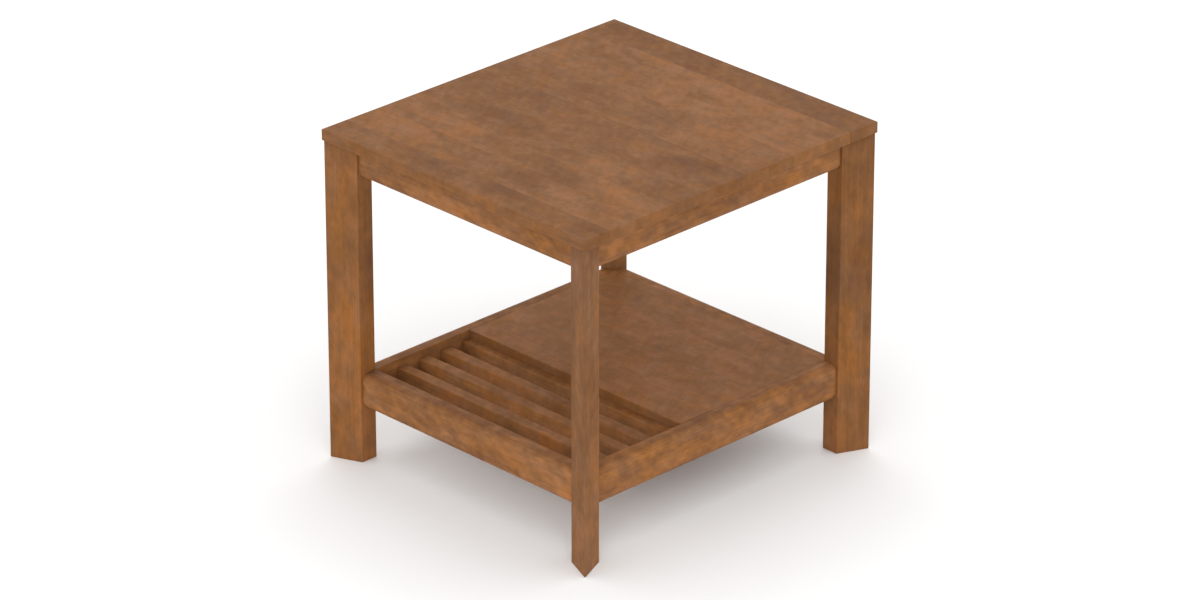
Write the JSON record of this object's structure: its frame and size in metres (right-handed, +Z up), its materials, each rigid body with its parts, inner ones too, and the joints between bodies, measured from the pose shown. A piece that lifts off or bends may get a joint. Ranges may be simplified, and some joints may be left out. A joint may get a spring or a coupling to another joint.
{
  "type": "end table",
  "caption": "Solid wood end table with a stave-built top, legs of kite section, rounded aprons and rails, and a lower shelf that is board at the back and open slats at the front",
  "frame": {"origin": "on the floor under the middle of the top", "axes": "+Z up, +X to the right along the staves of the top, the slatted front towards -Y"},
  "size_m": [0.559, 0.61, 0.543],
  "materials": {
    "top_wood": "satin brown stain",
    "top_wood_light": "satin brown stain",
    "top_wood_dark": "satin brown stain",
    "leg_wood": "satin brown stain",
    "cross_rail_wood": "satin brown stain",
    "side_rail_wood": "satin brown stain",
    "shelf_wood": "satin brown stain",
    "slat_wood": "satin brown stain",
    "cleat_wood": "satin brown stain",
    "dowel_wood": "bare",
    "zinc_steel": "zinc plated"
  },
  "bodies": {
    "root": {"leg_front_left": "leg_wood", "leg_front_right": "leg_wood", "leg_back_right": "leg_wood", "leg_back_left": "leg_wood", "apron_front": "cross_rail_wood", "apron_right": "side_rail_wood", "apron_back": "cross_rail_wood", "apron_left": "side_rail_wood", "apron_dowels": "dowel_wood", "rail_front": "cross_rail_wood", "rail_right": "side_rail_wood", "rail_back": "cross_rail_wood", "rail_left": "side_rail_wood", "rail_dowels": "dowel_wood", "top_stave_1": "top_wood_dark", "top_stave_2": "top_wood_light", "top_stave_3": "top_wood_light", "top_stave_4": "top_wood", "top_stave_5": "top_wood", "top_stave_6": "top_wood", "top_stave_7": "top_wood_light", "top_stave_8": "top_wood_dark", "top_clips": "zinc_steel", "clip_screws": "zinc_steel", "cleat_left": "cleat_wood", "cleat_right": "cleat_wood", "slat_1": "slat_wood", "slat_2": "slat_wood", "slat_3": "slat_wood", "slat_4": "slat_wood", "slat_5": "slat_wood", "bearer_1": "slat_wood", "bearer_2": "slat_wood", "bearer_3": "slat_wood", "bearer_4": "slat_wood", "shelf_stave_1": "shelf_wood", "shelf_stave_2": "shelf_wood", "shelf_stave_3": "shelf_wood", "shelf_stave_4": "shelf_wood", "cleat_screws": "zinc_steel", "slat_screws": "zinc_steel", "shelf_screws": "zinc_steel"}
  },
  "joints": []
}
